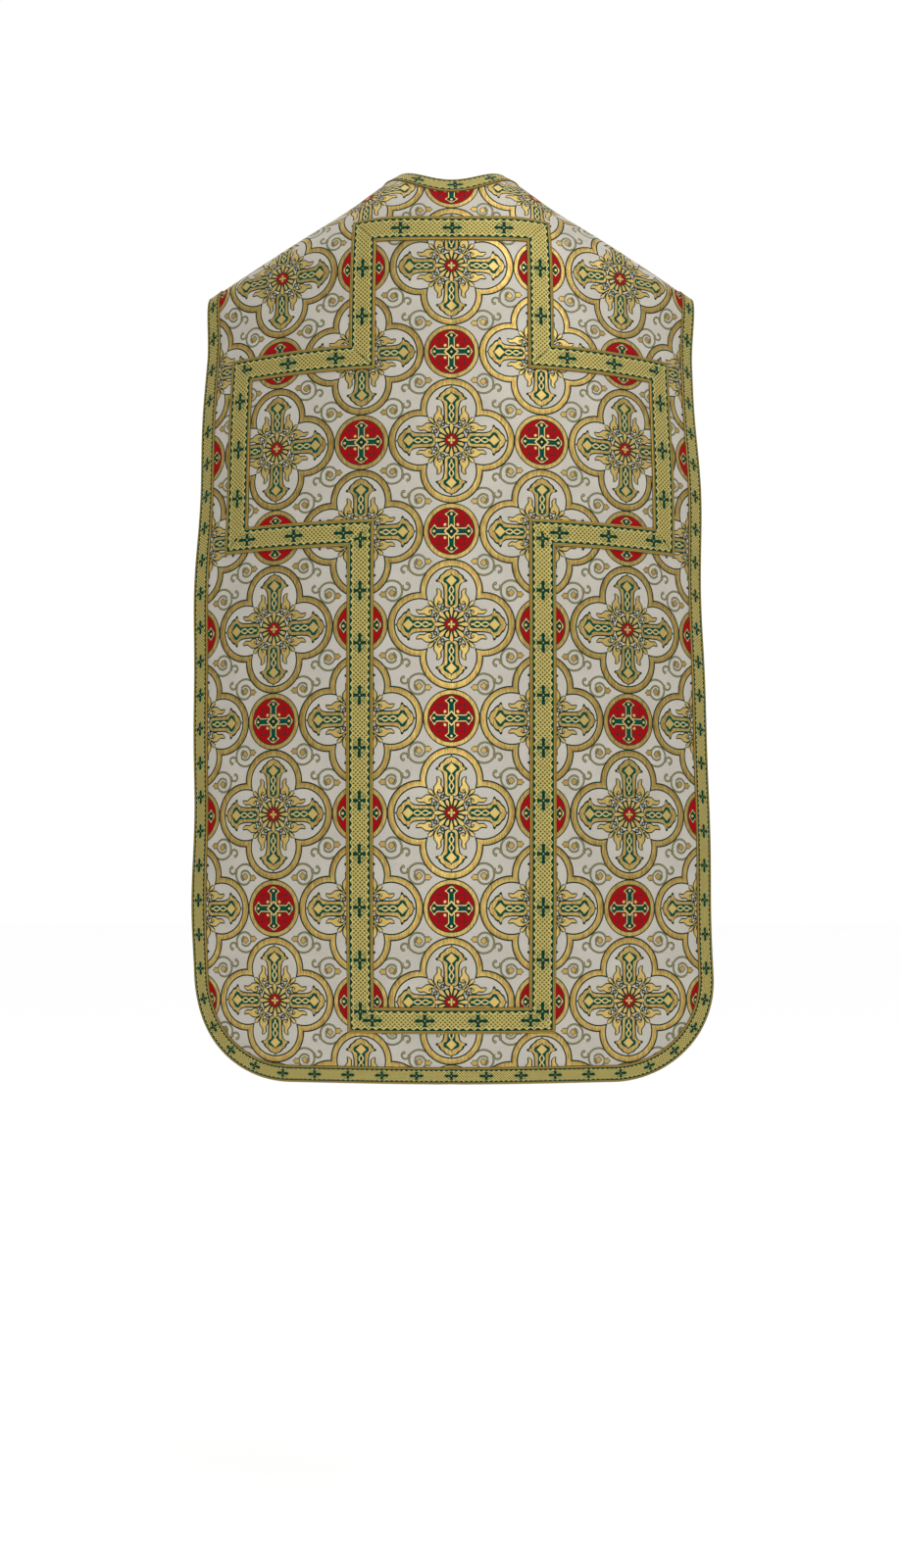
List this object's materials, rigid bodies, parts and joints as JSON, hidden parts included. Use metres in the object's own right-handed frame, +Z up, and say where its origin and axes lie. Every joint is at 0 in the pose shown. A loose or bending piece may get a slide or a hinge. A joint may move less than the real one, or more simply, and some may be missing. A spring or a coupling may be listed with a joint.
{
  "type": "roman chasuble",
  "caption": "Fiddleback chasuble of stiff brocade in its worn shape, open at neck, sides and hem, with woven braid outlining a cross on the back.",
  "frame": {"origin": "on the axis of the wearer's neck, level with the shoulder ends of the neckline", "axes": "+Z up, +Y toward the wearer's front, +X toward the wearer's right"},
  "size_m": [0.6627, 0.3197, 1.1751],
  "materials": {
    "brocade": "silver-beige satin ground with gold figure",
    "wide_braid": "ribbed gold and green woven braid",
    "narrow_braid": "ribbed gold and green woven braid"
  },
  "bodies": {
    "root": {"back_panel": "brocade", "front_panel": "brocade", "back_edge_braid": "narrow_braid", "back_neck_braid": "narrow_braid", "front_edge_braid": "narrow_braid", "front_neck_braid": "narrow_braid", "cross_top": "wide_braid", "cross_head_left": "wide_braid", "cross_head_right": "wide_braid", "cross_arm_top_left": "wide_braid", "cross_arm_top_right": "wide_braid", "cross_arm_end_left": "wide_braid", "cross_arm_end_right": "wide_braid", "cross_arm_bottom_left": "wide_braid", "cross_arm_bottom_right": "wide_braid", "cross_stem_left": "wide_braid", "cross_stem_right": "wide_braid", "cross_foot": "wide_braid"}
  },
  "joints": []
}
